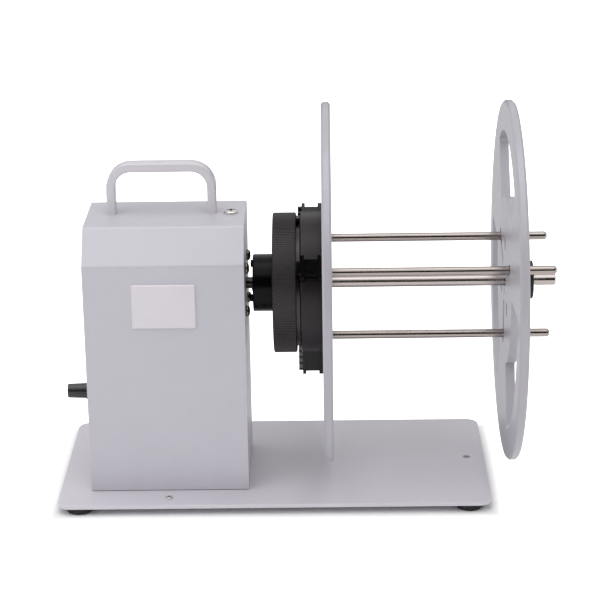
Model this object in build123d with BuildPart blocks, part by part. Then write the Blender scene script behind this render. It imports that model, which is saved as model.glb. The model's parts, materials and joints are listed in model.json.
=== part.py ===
from build123d import *
from math import cos, floor, radians, sin, tan
import os

# Bench rewinder for label rolls: a sheet-metal motor housing on a base plate drives a
# spindle with two round flanges.  A scroll chuck between housing and inner flange moves
# three core rods in and out together.  The outer flange slides on the centre shaft.
# Millimetres.  +X runs along the spindle away from the housing, +Y to the back, +Z up.
# Y = 0 is the spindle axis, Z = 0 the floor, and X = 0 the middle of the whole length.

# ---------------------------------------------------------------- driving dimensions
fit = 0.05                  # radial clearance of a running fit
seat = 0.02                 # radial clearance of a pressed or glued seat
screw_end_gap = 1.0         # blind hole past the end of its screw
slide_play = 0.2            # play each side of a sliding guide

base_length = 300.0
base_depth = 156.0
base_thickness = 2.5
base_corner = 9.0
base_edge = 0.6
base_left_margin = 22.0     # base beyond the housing on the left
base_front_margin = 26.0    # base in front of the housing
bench_hole_radius = 2.65
bench_hole_inset = 12.5     # from the edge of the base
bench_hole_y = 14.0
plate_screw_radius = 1.5
plate_screw_head_radius = 2.6
plate_screw_head_height = 1.4

foot_radius = 8.3
foot_height = 5.0
foot_taper = 2.0
foot_inset = 15.0           # foot centre from the short edges
foot_edge_inset = 10.6      # and from the long edges

housing_width = 110.0
housing_depth = 83.5
housing_height = 187.0      # above the base plate
slope_depth = 18.0          # slanted panel between front and top
slope_height = 23.0
sheet = 1.5                 # wrapped cover
bend_radius = 3.0
side_sheet = 2.0            # left and right side plates
side_seam = 0.3
cover_floor_gap = 0.5       # cover hangs clear of the base plate
side_flange = 15.0          # bent-in lip of a side plate
side_lip_margin = 14.0      # lip kept short of the front and back walls

side_hole_radius = 1.2
side_hole_y = -35.0
side_hole_drop = 19.0       # below the spindle axis
back_lip = 11.0             # bent-in lip that takes the back screws
back_lip_end_gap = 22.0
back_screw_radius = 1.5
back_screw_head_radius = 2.9
back_screw_head_height = 1.8
back_screw_low = 38.0       # above the base plate
back_screw_high = 148.0

axis_above_base = 138.5     # spindle axis over the base plate

handle_side_margin = 17.0   # housing beyond the handle, on average
handle_height = 36.0
handle_depth = 10.0
handle_bar = 5.2
handle_corner = 17.5
handle_edge = 1.3
handle_x_offset = -3.0      # from the middle of the housing
handle_y_offset = 2.5       # from the middle of the flat top
handle_screw_radius = 1.6
handle_screw_depth = 9.0
handle_screw_head_radius = 3.2
handle_screw_head_height = 2.6

cover_screw_radius = 2.4
cover_screw_head_radius = 5.0
cover_screw_head_height = 2.2
cover_screw_length = 7.0
cover_screw_y = 8.2
cover_screw_inset = 10.0    # from the right face of the housing

badge_width = 44.0
badge_height = 31.5
badge_thickness = 1.2
badge_corner = 1.5
badge_edge = 0.8
badge_centre_z = 135.5      # above the base plate
badge_x_offset = 0.0        # from the middle of the housing

gearbox_size = 42.0
gearbox_length = 28.0
gearbox_corner = 4.0
gearbox_boss_radius = 11.0
gearbox_bore_depth = 24.0
motor_radius = 18.0
motor_length = 58.0
motor_edge = 1.5
motor_cap_radius = 12.0
motor_cap_length = 3.0
motor_screw_spacing = 31.0
motor_screw_radius = 1.9
motor_screw_depth = 9.0
motor_screw_head_radius = 3.9
motor_screw_head_height = 2.8

shaft_radius = 4.0
shaft_gap = 4.75            # side plate to drive hub
drive_shaft_tail = 18.0     # inside the gearbox
shaft_joint = 3.0           # where the two shafts meet, past the drive hub

hub_radius = 20.0
hub_length = 14.2
hub_edge = 1.0
hub_screw_circle = 14.1
hub_screw_radius = 1.5
hub_screw_head_radius = 2.6
hub_screw_head_height = 3.0
hub_screw_recess = 1.4      # how far a head sinks in
hub_screw_grip = 8.0        # thread in the chuck boss
grub_radius = 2.0
grub_length = 8.0

grip_radius = 48.75
grip_width = 16.15
grip_edge = 0.6
grip_seat_depth = 4.0       # recess that holds the scroll plate
grip_wall = 1.8
grip_pocket_depth = 4.0     # shallow ring pocket in the left face
grip_pocket_inner = 24.0
grip_pocket_outer = 42.0

scroll_gap = 3.1            # knurled ring to chuck body, where the scroll shows
scroll_pitch = 4.6
scroll_rib = 1.7
scroll_rib_height = 2.5
scroll_start_radius = 17.65
scroll_first_quarter = 1    # the rib starts a quarter turn in, clear of the boss
scroll_turns = 6

chuck_radius = 49.0
chuck_thickness = 14.8
chuck_edge = 0.8
chuck_boss_radius = 17.0
chuck_neck_radius = 11.0
chuck_core_radius = 11.6    # solid middle where the three guides end

jaw_count = 3
jaw_phase = 33.0            # first jaw, degrees from +Y towards +Z
jaw_width = 15.0
jaw_web_width = 10.0        # between the guide grooves
jaw_web_recess = 1.3        # web short of the ribs' outer end
jaw_rear_rib = 2.4
jaw_groove = 9.0            # between the jaw's two ribs
jaw_outer_radius = 66.5
jaw_inner_reach = 5.0       # jaw inside the rod centre
jaw_end_gap = 0.3           # jaw to the flange and to the chuck's rear face
tooth_width = 8.0
tooth_thickness = 1.7
tooth_height = 2.5

core_rod_radius = 3.0
core_rod_circle = 40.0      # rod centres from the axis
core_rod_tip_round = 2.4
core_rod_in_jaw = 10.0
core_rod_overhang = 26.0    # past the outer flange
jaw_travel_in = 22.0
jaw_travel_out = 4.0

flange_radius = 125.0
flange_thickness = 6.5
flange_edge = 1.5
flange_bore_radius = 10.0
window_inner_radius = 58.0
window_outer_radius = 104.0
window_half_angle = 37.0
window_corner = 4.0
slot_play = 0.3             # each side of a core rod
relief_radius = 4.75
relief_circle = 26.5
flange_screw_radius = 2.5
flange_screw_head_radius = 4.3
flange_screw_head_height = 4.0
flange_screw_depth = 10.0

roll_width = 120.0          # between the flanges
shaft_overhang = 29.0       # centre shaft past the outer flange
shaft_end_chamfer = 0.6
stop_groove_radius = 3.6    # groove for a stop ring past the lock knob
stop_groove_width = 0.8
stop_groove_gap = 1.0

lock_shoulder_radius = 12.5
lock_shoulder = 2.0
lock_nose_radius = 7.5
lock_nose_length = 9.5
lock_nose_slit = 1.2
lock_knob_radius = 13.3
lock_knob_length = 11.0
lock_knob_flutes = 15
lock_knob_flute_radius = 1.5
lock_knob_edge = 0.8
lock_play = 0.3

knob_height = 59.5          # above the base plate
knob_radius = 5.5            # at the skirt
knob_tip_radius = 5.0
knob_length = 13.2
knob_skirt_radius = 6.2
knob_skirt = 2.3
knob_edge = 0.6
knob_bore_depth = 10.0
knob_pointer_width = 0.8
knob_pointer_depth = 0.5
pot_nut_radius = 5.0
pot_nut_height = 2.4
pot_bush_radius = 3.5
pot_body_radius = 8.0
pot_body_length = 9.0
pot_bore_depth = 5.0
pot_shaft_radius = 2.4
pot_shaft_start = 4.0       # inside the body
knob_gap = 0.5              # pot bush to knob

switch_height = 92.0        # above the base plate
switch_width = 13.0
switch_length = 19.0
switch_bezel = 1.2
switch_bezel_lip = 1.5
switch_body_depth = 16.0
rocker_width = 9.0
rocker_length = 14.0
rocker_radius = 11.0
rocker_rise = 2.4
rocker_half_angle = 8.0
rocker_well_depth = 8.0
rocker_pivot_depth = 4.5    # pivot below the bezel's face
rocker_pin_radius = 1.2
rocker_end_gap = 1.0
rocker_inner_reach = 2.0    # rocker behind its pivot

inlet_height = 30.0         # above the base plate
inlet_radius = 5.5
inlet_flange_radius = 7.0
inlet_flange = 1.6
inlet_body_depth = 13.0
inlet_bore_radius = 2.75
inlet_bore_depth = 9.5
inlet_pin_radius = 1.0
inlet_pin_length = 7.5

board_length = 60.0
board_width = 46.0
board_thickness = 1.6
board_lift = 6.0
board_margin = 20.0         # housing wall to board
post_radius = 3.0
post_inset = 5.0
heat_sink_size = (8.0, 26.0, 18.0)
capacitor_radius = 5.0
capacitor_height = 14.0
terminal_size = (8.0, 20.0, 9.0)

base_screw_radius = 2.0
base_screw_head_radius = 3.7
base_screw_head_height = 2.2
base_screw_spacing = 44.0

# ---------------------------------------------------------------- places that follow
base_top = foot_height + base_thickness
axis_height = base_top + axis_above_base

hub_reach = shaft_gap + hub_length
spindle_reach = (hub_reach + grip_width + scroll_gap + chuck_thickness
                 + flange_thickness + roll_width + flange_thickness + shaft_overhang)
knob_standoff = pot_nut_height + knob_gap

plate_x = (housing_width + base_left_margin - spindle_reach) / 2
housing_left = plate_x - housing_width
housing_mid_x = plate_x - housing_width / 2
handle_width = housing_width - 2 * handle_side_margin
housing_front = -housing_depth / 2
housing_back = housing_depth / 2
housing_top = base_top + housing_height
flat_top_mid_y = housing_front + (slope_depth + housing_depth) / 2

base_left = housing_left - base_left_margin
base_right = base_left + base_length
base_front = housing_front - base_front_margin
base_back = base_front + base_depth
base_mid_y = (base_front + base_back) / 2

hub_x = plate_x + shaft_gap
grip_x = hub_x + hub_length
scroll_x = grip_x + grip_width
chuck_x = scroll_x + scroll_gap
inner_flange_x = chuck_x + chuck_thickness
outer_flange_x = inner_flange_x + flange_thickness + roll_width
outer_face_x = outer_flange_x + flange_thickness
shaft_end_x = outer_face_x + shaft_overhang
shaft_joint_x = grip_x + shaft_joint
nose_x = outer_face_x + lock_shoulder
groove_x = nose_x + lock_knob_length + stop_groove_gap

jaw_angles = [jaw_phase + 360.0 / jaw_count * number for number in range(jaw_count)]
window_angles = [angle + 180.0 / jaw_count for angle in jaw_angles]
jaw_x = chuck_x + jaw_end_gap
jaw_end_x = inner_flange_x - jaw_end_gap
jaw_inner_radius = core_rod_circle - jaw_inner_reach
side_inner_x = plate_x - side_sheet
right_lip_x = side_inner_x - side_flange / 2
left_lip_x = housing_left + side_sheet + side_flange / 2
base_screw_spots = [(lip_x, side * base_screw_spacing / 2)
                    for lip_x in (left_lip_x, right_lip_x) for side in (-1, 1)]
cover_screw_x = plate_x - cover_screw_inset
plate_screw_spots = [(housing_mid_x, base_front + bench_hole_inset),
                     (housing_mid_x, base_back - bench_hole_inset)]
back_screw_spots = [(lip_x, base_top + height)
                    for lip_x in (housing_left + side_sheet + back_lip / 2,
                                  side_inner_x - back_lip / 2)
                    for height in (back_screw_low, back_screw_high)]


def spindle_plane(x, angle=0.0):
    """Plane across the spindle at x, its own x axis pointing out at the given angle."""
    out = (0, cos(radians(angle)), sin(radians(angle)))
    return Plane(origin=(x, 0, axis_height), x_dir=out, z_dir=(1, 0, 0))


def left_plane(x, height):
    """Plane on the left side plate, looking out to -X, centred on the spindle's Y."""
    return Plane(origin=(x, 0, base_top + height), x_dir=(0, 1, 0), z_dir=(-1, 0, 0))


def back_plane(y):
    """Plane across the back wall at y, looking to the front, its own y axis up."""
    return Plane(origin=(0, y, 0), x_dir=(1, 0, 0), z_dir=(0, -1, 0))


def keep(piece, name):
    """Label a finished piece and write it."""
    piece.part.label = name
    export_step(piece.part, f"parts/{name}.step")


os.makedirs("parts", exist_ok=True)

# ---------------------------------------------------------------- base plate and feet
with BuildPart() as base_plate:
    with BuildSketch(Plane.XY.offset(foot_height)):
        with Locations(((base_left + base_right) / 2, base_mid_y)):
            RectangleRounded(base_length, base_depth, base_corner)
    extrude(amount=base_thickness)
    fillet(base_plate.edges().group_by(Axis.Z)[-1], base_edge)
    with BuildSketch(Plane.XY.offset(foot_height)):
        with Locations((base_right - bench_hole_inset, bench_hole_y)):
            Circle(bench_hole_radius)
        with Locations(*plate_screw_spots):
            Circle(plate_screw_radius + seat)
        with Locations(*base_screw_spots):
            Circle(base_screw_radius + seat)
    extrude(amount=base_thickness, mode=Mode.SUBTRACT)
keep(base_plate, "base_plate")

foot_spots = [
    (base_left + foot_inset, base_front + foot_edge_inset),
    (base_right - foot_inset, base_front + foot_edge_inset),
    (base_left + foot_inset, base_back - foot_edge_inset),
    (base_right - foot_inset, base_back - foot_edge_inset),
]
with BuildPart() as rubber_feet:
    with Locations(*foot_spots):
        Cone(foot_radius - foot_taper, foot_radius, foot_height,
             align=(Align.CENTER, Align.CENTER, Align.MIN))
keep(rubber_feet, "rubber_feet")


# ---------------------------------------------------------------- housing
def housing_profile(inset):
    """Side outline of the housing, moved in by inset on every wall above the base."""
    with BuildSketch() as profile:
        with BuildLine():
            Polyline(
                (housing_front, base_top - inset),
                (housing_front, housing_top - slope_height),
                (housing_front + slope_depth, housing_top),
                (housing_back, housing_top),
                (housing_back, base_top - inset),
                close=True,
            )
        make_face()
        if inset > 0:
            offset(amount=-inset, kind=Kind.INTERSECTION)
        bends = profile.vertices().filter_by_position(Axis.Y, base_top + bend_radius, housing_top)
        fillet(bends, max(bend_radius - inset, 0.5))
    return profile.sketch


lip_length = housing_depth - 2 * side_lip_margin
side_inset = sheet + side_seam
lid_z = housing_top - sheet
outer_outline = housing_profile(0)
inner_outline = housing_profile(sheet)
side_outline = housing_profile(side_inset)
handle_x = housing_mid_x + handle_x_offset
handle_y = flat_top_mid_y + handle_y_offset

with BuildPart() as housing_cover:
    with BuildSketch(Plane.YZ.offset(housing_left)):
        add(outer_outline)
        add(inner_outline, mode=Mode.SUBTRACT)
    extrude(amount=housing_width)
    with BuildSketch(Plane.XY.offset(base_top)):
        with Locations((housing_mid_x, 0)):
            Rectangle(2 * housing_width, 2 * housing_depth)
    extrude(amount=cover_floor_gap, mode=Mode.SUBTRACT)
    with BuildSketch(Plane.XY.offset(housing_top)):
        with Locations((cover_screw_x, cover_screw_y)):
            Circle(cover_screw_radius + seat)
    extrude(amount=-2 * sheet, mode=Mode.SUBTRACT)
    with BuildSketch(Plane.XY.offset(housing_top)):
        with Locations((handle_x, handle_y)):
            with GridLocations(handle_width - handle_bar, 0, 2, 1):
                Circle(handle_screw_radius + seat)
    extrude(amount=-2 * sheet, mode=Mode.SUBTRACT)
    with BuildSketch(back_plane(housing_back)):
        with Locations(*back_screw_spots):
            Circle(back_screw_radius + seat)
    extrude(amount=sheet, mode=Mode.SUBTRACT)
keep(housing_cover, "housing_cover")

with BuildPart() as right_side_plate:
    with BuildSketch(Plane.YZ.offset(side_inner_x)):
        add(side_outline)
    extrude(amount=side_sheet)
    with BuildSketch(Plane.XY.offset(base_top)):
        with Locations((right_lip_x, 0)):
            Rectangle(side_flange, lip_length)
            with GridLocations(0, base_screw_spacing, 1, 2):
                Circle(base_screw_radius + seat, mode=Mode.SUBTRACT)
    extrude(amount=side_sheet)
    with BuildSketch(Plane.XY.offset(lid_z - side_sheet - side_seam)):
        with Locations((right_lip_x, flat_top_mid_y)):
            Rectangle(side_flange, lip_length - slope_depth)
        with Locations((cover_screw_x, cover_screw_y)):
            Circle(cover_screw_radius + seat, mode=Mode.SUBTRACT)
    extrude(amount=side_sheet)
    with BuildSketch(back_plane(housing_back - side_inset)):
        with Locations((side_inner_x - back_lip / 2, base_top + housing_height / 2)):
            Rectangle(back_lip, housing_height - 2 * back_lip_end_gap)
        with Locations(*back_screw_spots):
            Circle(back_screw_radius + seat, mode=Mode.SUBTRACT)
    extrude(amount=side_sheet)
    with BuildSketch(spindle_plane(side_inner_x)):
        Circle(gearbox_boss_radius + seat)
        with Locations((side_hole_y, -side_hole_drop)):
            Circle(side_hole_radius)
        with GridLocations(motor_screw_spacing, motor_screw_spacing, 2, 2):
            Circle(motor_screw_radius + seat)
    extrude(amount=side_sheet, mode=Mode.SUBTRACT)
keep(right_side_plate, "right_side_plate")

with BuildPart() as left_side_plate:
    with BuildSketch(Plane.YZ.offset(housing_left)):
        add(side_outline)
    extrude(amount=side_sheet)
    with BuildSketch(Plane.XY.offset(base_top)):
        with Locations((left_lip_x, 0)):
            Rectangle(side_flange, lip_length)
            with GridLocations(0, base_screw_spacing, 1, 2):
                Circle(base_screw_radius + seat, mode=Mode.SUBTRACT)
    extrude(amount=side_sheet)
    with BuildSketch(back_plane(housing_back - side_inset)):
        with Locations((housing_left + side_sheet + back_lip / 2, base_top + housing_height / 2)):
            Rectangle(back_lip, housing_height - 2 * back_lip_end_gap)
        with Locations(*back_screw_spots):
            Circle(back_screw_radius + seat, mode=Mode.SUBTRACT)
    extrude(amount=side_sheet)
    with BuildSketch(left_plane(housing_left, knob_height)):
        Circle(pot_bush_radius + seat)
    extrude(amount=-side_sheet, mode=Mode.SUBTRACT)
    with BuildSketch(left_plane(housing_left, switch_height)):
        Rectangle(switch_width + 2 * seat, switch_length + 2 * seat)
    extrude(amount=-side_sheet, mode=Mode.SUBTRACT)
    with BuildSketch(left_plane(housing_left, inlet_height)):
        Circle(inlet_radius + seat)
    extrude(amount=-side_sheet, mode=Mode.SUBTRACT)
keep(left_side_plate, "left_side_plate")

with BuildPart() as base_screws:
    with BuildSketch(Plane.XY.offset(foot_height)):
        with Locations(*base_screw_spots):
            Circle(base_screw_head_radius)
    extrude(amount=-base_screw_head_height)
    with BuildSketch(Plane.XY.offset(foot_height)):
        with Locations(*base_screw_spots):
            Circle(base_screw_radius)
    extrude(amount=base_thickness + 2 * side_sheet)
keep(base_screws, "base_screws")

with BuildPart() as plate_screws:
    with BuildSketch(Plane.XY.offset(base_top)):
        with Locations(*plate_screw_spots):
            Circle(plate_screw_head_radius)
    extrude(amount=plate_screw_head_height)
    fillet(plate_screws.edges().group_by(Axis.Z)[-1], plate_screw_head_height * 0.7)
    with BuildSketch(Plane.XY.offset(base_top)):
        with Locations(*plate_screw_spots):
            Circle(plate_screw_radius)
    extrude(amount=-base_thickness)
keep(plate_screws, "plate_screws")

with BuildPart() as back_screws:
    with BuildSketch(back_plane(housing_back)):
        with Locations(*back_screw_spots):
            Circle(back_screw_head_radius)
    extrude(amount=-back_screw_head_height)
    fillet(back_screws.edges().group_by(Axis.Y)[-1], back_screw_head_height * 0.7)
    with BuildSketch(back_plane(housing_back)):
        with Locations(*back_screw_spots):
            Circle(back_screw_radius)
    extrude(amount=side_inset + side_sheet)
keep(back_screws, "back_screws")

with BuildPart() as cover_screw:
    with BuildSketch(Plane.XY.offset(housing_top)):
        with Locations((cover_screw_x, cover_screw_y)):
            Circle(cover_screw_head_radius)
    extrude(amount=cover_screw_head_height)
    rim = cover_screw.edges().group_by(Axis.Z)[-1]
    fillet(rim, cover_screw_head_height * 0.9)
    with BuildSketch(Plane.XY.offset(housing_top)):
        with Locations((cover_screw_x, cover_screw_y)):
            Circle(cover_screw_radius)
    extrude(amount=-cover_screw_length)
keep(cover_screw, "cover_screw")

with BuildPart() as badge_plate:
    badge_spot = (housing_mid_x + badge_x_offset, housing_front, base_top + badge_centre_z)
    with BuildSketch(Plane(origin=badge_spot, x_dir=(1, 0, 0), z_dir=(0, -1, 0))):
        RectangleRounded(badge_width, badge_height, badge_corner)
    extrude(amount=badge_thickness)
    chamfer(badge_plate.faces().sort_by(Axis.Y)[0].edges(), length=badge_edge)
keep(badge_plate, "badge_plate")

# ---------------------------------------------------------------- carry handle
handle_plane = Plane(origin=(handle_x, handle_y + handle_depth / 2, housing_top),
                     x_dir=(1, 0, 0), z_dir=(0, -1, 0))
with BuildPart() as carry_handle:
    with BuildSketch(handle_plane) as handle_outline:
        with Locations((0, handle_height / 2)):
            Rectangle(handle_width, handle_height)
        fillet(handle_outline.vertices().group_by(Axis.Y)[-1], handle_corner)
    extrude(amount=handle_depth)
    with BuildSketch(handle_plane) as handle_opening:
        with Locations((0, (handle_height - handle_bar) / 2)):
            Rectangle(handle_width - 2 * handle_bar, handle_height - handle_bar)
        fillet(handle_opening.vertices().group_by(Axis.Y)[-1], handle_corner - handle_bar)
    extrude(amount=handle_depth, mode=Mode.SUBTRACT)
    fillet(carry_handle.faces().sort_by(Axis.Y)[0].edges().filter_by_position(
        Axis.Z, housing_top + 0.1, housing_top + handle_height), handle_edge)
    fillet(carry_handle.faces().sort_by(Axis.Y)[-1].edges().filter_by_position(
        Axis.Z, housing_top + 0.1, housing_top + handle_height), handle_edge)
    with BuildSketch(Plane.XY.offset(housing_top)):
        with Locations((handle_x, handle_y)):
            with GridLocations(handle_width - handle_bar, 0, 2, 1):
                Circle(handle_screw_radius + seat)
    extrude(amount=handle_screw_depth, mode=Mode.SUBTRACT)
keep(carry_handle, "carry_handle")

with BuildPart() as handle_screws:
    with BuildSketch(Plane.XY.offset(lid_z)):
        with Locations((handle_x, handle_y)):
            with GridLocations(handle_width - handle_bar, 0, 2, 1):
                Circle(handle_screw_head_radius)
    extrude(amount=-handle_screw_head_height)
    with BuildSketch(Plane.XY.offset(lid_z)):
        with Locations((handle_x, handle_y)):
            with GridLocations(handle_width - handle_bar, 0, 2, 1):
                Circle(handle_screw_radius)
    extrude(amount=sheet + handle_screw_depth - screw_end_gap)
keep(handle_screws, "handle_screws")

# ---------------------------------------------------------------- gearmotor
with BuildPart() as gearbox:
    with BuildSketch(spindle_plane(side_inner_x - gearbox_length)):
        RectangleRounded(gearbox_size, gearbox_size, gearbox_corner)
    extrude(amount=gearbox_length)
    with BuildSketch(spindle_plane(side_inner_x)):
        Circle(gearbox_boss_radius)
    extrude(amount=side_sheet)
    with BuildSketch(spindle_plane(plate_x - gearbox_bore_depth)):
        Circle(shaft_radius + fit)
    extrude(amount=gearbox_bore_depth, mode=Mode.SUBTRACT)
    with BuildSketch(spindle_plane(side_inner_x - motor_screw_depth)):
        with GridLocations(motor_screw_spacing, motor_screw_spacing, 2, 2):
            Circle(motor_screw_radius + seat)
    extrude(amount=motor_screw_depth, mode=Mode.SUBTRACT)
keep(gearbox, "gearbox")

motor_x = side_inner_x - gearbox_length
with BuildPart() as drive_motor:
    with BuildSketch(spindle_plane(motor_x)):
        Circle(motor_radius)
    extrude(amount=-motor_length)
    chamfer(drive_motor.faces().sort_by(Axis.X)[0].edges(), length=motor_edge)
    with BuildSketch(spindle_plane(motor_x - motor_length)):
        Circle(motor_cap_radius)
    extrude(amount=-motor_cap_length)
keep(drive_motor, "drive_motor")

with BuildPart() as motor_screws:
    with BuildSketch(spindle_plane(plate_x)):
        with GridLocations(motor_screw_spacing, motor_screw_spacing, 2, 2):
            Circle(motor_screw_head_radius)
    extrude(amount=motor_screw_head_height)
    fillet(motor_screws.edges().group_by(Axis.X)[-1], motor_screw_head_height * 0.6)
    with BuildSketch(spindle_plane(plate_x)):
        with GridLocations(motor_screw_spacing, motor_screw_spacing, 2, 2):
            Circle(motor_screw_radius)
    extrude(amount=-(side_sheet + motor_screw_depth - screw_end_gap))
keep(motor_screws, "motor_screws")

# ---------------------------------------------------------------- speed control
with BuildPart() as speed_pot:
    with BuildSketch(left_plane(housing_left + side_sheet, knob_height)):
        Circle(pot_body_radius)
    extrude(amount=-pot_body_length)
    with BuildSketch(left_plane(housing_left + side_sheet, knob_height)):
        Circle(pot_bush_radius)
    extrude(amount=side_sheet + pot_nut_height)
    with BuildSketch(left_plane(housing_left + side_sheet + pot_bore_depth, knob_height)):
        Circle(pot_shaft_radius + fit)
    extrude(amount=pot_bore_depth + side_sheet + pot_nut_height, mode=Mode.SUBTRACT)
keep(speed_pot, "speed_pot")

knob_x = housing_left - knob_standoff
with BuildPart() as pot_shaft:
    with BuildSketch(left_plane(housing_left + side_sheet + pot_shaft_start, knob_height)):
        Circle(pot_shaft_radius)
    extrude(amount=side_sheet + pot_shaft_start + knob_standoff + knob_bore_depth)
keep(pot_shaft, "pot_shaft")

with BuildPart() as pot_nut:
    with BuildSketch(left_plane(housing_left, knob_height)):
        RegularPolygon(pot_nut_radius, 6)
        Circle(pot_bush_radius + seat, mode=Mode.SUBTRACT)
    extrude(amount=pot_nut_height)
keep(pot_nut, "pot_nut")

with BuildPart() as speed_knob:
    with BuildSketch(left_plane(knob_x, knob_height)):
        Circle(knob_skirt_radius)
    extrude(amount=knob_skirt)
    with BuildSketch(left_plane(knob_x - knob_skirt, knob_height)):
        Circle(knob_radius)
    with BuildSketch(left_plane(knob_x - knob_skirt - knob_length, knob_height)):
        Circle(knob_tip_radius)
    loft()
    fillet(speed_knob.faces().sort_by(Axis.X)[0].edges(), knob_edge)
    with BuildSketch(left_plane(knob_x, knob_height)):
        with Locations((-knob_radius, 0)):
            Rectangle(2 * knob_pointer_depth, knob_pointer_width)
    extrude(amount=knob_skirt + knob_length, mode=Mode.SUBTRACT)
    with BuildSketch(left_plane(knob_x - knob_skirt - knob_length, knob_height)):
        with Locations((-knob_radius / 2, 0)):
            Rectangle(knob_radius, knob_pointer_width)
    extrude(amount=-knob_pointer_depth, mode=Mode.SUBTRACT)
    with BuildSketch(left_plane(knob_x, knob_height)):
        Circle(pot_shaft_radius + seat)
    extrude(amount=knob_bore_depth, mode=Mode.SUBTRACT)
keep(speed_knob, "speed_knob")

# ---------------------------------------------------------------- power switch
bezel_x = housing_left - switch_bezel
with BuildPart() as switch_body:
    with BuildSketch(left_plane(housing_left, switch_height)):
        Rectangle(switch_width + 2 * switch_bezel_lip, switch_length + 2 * switch_bezel_lip)
    extrude(amount=switch_bezel)
    with BuildSketch(left_plane(housing_left, switch_height)):
        Rectangle(switch_width, switch_length)
    extrude(amount=-switch_body_depth)
    with BuildSketch(left_plane(bezel_x, switch_height)):
        Rectangle(rocker_width + 2 * lock_play, rocker_length + 2 * lock_play)
    extrude(amount=-rocker_well_depth, mode=Mode.SUBTRACT)
    pivot_plane = Plane(origin=(bezel_x + rocker_pivot_depth, 0, base_top + switch_height),
                        x_dir=(1, 0, 0), z_dir=(0, 1, 0))
    with BuildSketch(pivot_plane):
        Circle(rocker_pin_radius)
    extrude(amount=switch_width / 2, both=True)
keep(switch_body, "switch_body")

with BuildPart() as switch_rocker:
    with BuildSketch(pivot_plane):
        Circle(rocker_radius)
        with Locations((0, 0)):
            Rectangle(2 * rocker_radius, rocker_length - 2 * rocker_end_gap, mode=Mode.INTERSECT)
        with Locations((rocker_radius, 0)):
            Rectangle(2 * (rocker_radius - rocker_inner_reach), 3 * rocker_radius,
                      mode=Mode.SUBTRACT)
        with Locations((-rocker_radius, 0)):
            Rectangle(2 * (rocker_radius - rocker_pivot_depth - rocker_rise), 3 * rocker_radius,
                      mode=Mode.SUBTRACT)
        Circle(rocker_pin_radius + fit, mode=Mode.SUBTRACT)
    extrude(amount=rocker_width / 2, both=True)
keep(switch_rocker, "switch_rocker")

with BuildPart() as power_inlet:
    with BuildSketch(left_plane(housing_left, inlet_height)):
        Circle(inlet_flange_radius)
    extrude(amount=inlet_flange)
    with BuildSketch(left_plane(housing_left, inlet_height)):
        Circle(inlet_radius)
    extrude(amount=-inlet_body_depth)
    with BuildSketch(left_plane(housing_left - inlet_flange, inlet_height)):
        Circle(inlet_bore_radius)
    extrude(amount=-inlet_bore_depth, mode=Mode.SUBTRACT)
    with BuildSketch(left_plane(housing_left - inlet_flange + inlet_bore_depth, inlet_height)):
        Circle(inlet_pin_radius)
    extrude(amount=inlet_pin_length)
keep(power_inlet, "power_inlet")

# ---------------------------------------------------------------- control board
board_x = housing_left + board_margin + board_length / 2
board_z = base_top + board_lift
with BuildPart() as board_posts:
    with BuildSketch(Plane.XY.offset(base_top)):
        with Locations((board_x, 0)):
            with GridLocations(board_length - 2 * post_inset, board_width - 2 * post_inset, 2, 2):
                Circle(post_radius)
    extrude(amount=board_lift)
keep(board_posts, "board_posts")

with BuildPart() as control_board:
    with BuildSketch(Plane.XY.offset(board_z)):
        with Locations((board_x, 0)):
            Rectangle(board_length, board_width)
    extrude(amount=board_thickness)
keep(control_board, "control_board")

part_z = board_z + board_thickness
with BuildPart() as board_components:
    with Locations((board_x + board_length / 3, 0, part_z + heat_sink_size[2] / 2)):
        Box(*heat_sink_size)
    with Locations((board_x - board_length / 3, 0, part_z + terminal_size[2] / 2)):
        Box(*terminal_size)
    with BuildSketch(Plane.XY.offset(part_z)):
        with Locations((board_x, board_width / 4), (board_x, -board_width / 4)):
            Circle(capacitor_radius)
    extrude(amount=capacitor_height)
keep(board_components, "board_components")

# ---------------------------------------------------------------- drive shaft and hub
with BuildPart() as drive_shaft:
    with BuildSketch(spindle_plane(side_inner_x - drive_shaft_tail)):
        Circle(shaft_radius)
    extrude(amount=shaft_joint_x - side_inner_x + drive_shaft_tail)
keep(drive_shaft, "drive_shaft")

with BuildPart() as drive_hub:
    with BuildSketch(spindle_plane(hub_x)):
        Circle(hub_radius)
        Circle(shaft_radius + seat, mode=Mode.SUBTRACT)
    extrude(amount=hub_length)
    rims = drive_hub.edges().filter_by(GeomType.CIRCLE).sort_by(SortBy.RADIUS)[-2:]
    fillet(rims, hub_edge)
    with BuildSketch(spindle_plane(hub_x)):
        with PolarLocations(hub_screw_circle, jaw_count, start_angle=90):
            Circle(hub_screw_radius + seat)
    extrude(amount=hub_length, mode=Mode.SUBTRACT)
    with BuildSketch(spindle_plane(hub_x)):
        with PolarLocations(hub_screw_circle, jaw_count, start_angle=90):
            Circle(hub_screw_head_radius + seat)
    extrude(amount=hub_screw_recess, mode=Mode.SUBTRACT)
    grub_plane = Plane(origin=(hub_x + hub_length / 2, 0, axis_height), x_dir=(1, 0, 0), z_dir=(0, 0, -1))
    with BuildSketch(grub_plane):
        Circle(grub_radius + seat)
    extrude(amount=hub_radius, mode=Mode.SUBTRACT)
keep(drive_hub, "drive_hub")

with BuildPart() as hub_screws:
    with BuildSketch(spindle_plane(hub_x + hub_screw_recess)):
        with PolarLocations(hub_screw_circle, jaw_count, start_angle=90):
            Circle(hub_screw_head_radius)
    extrude(amount=-hub_screw_head_height)
    with BuildSketch(spindle_plane(hub_x + hub_screw_recess)):
        with PolarLocations(hub_screw_circle, jaw_count, start_angle=90):
            Circle(hub_screw_radius)
    extrude(amount=hub_length - hub_screw_recess + hub_screw_grip - screw_end_gap)
keep(hub_screws, "hub_screws")

with BuildPart() as hub_grub_screw:
    with BuildSketch(grub_plane.offset(shaft_radius + seat)):
        Circle(grub_radius)
    extrude(amount=grub_length)
keep(hub_grub_screw, "hub_grub_screw")

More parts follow.
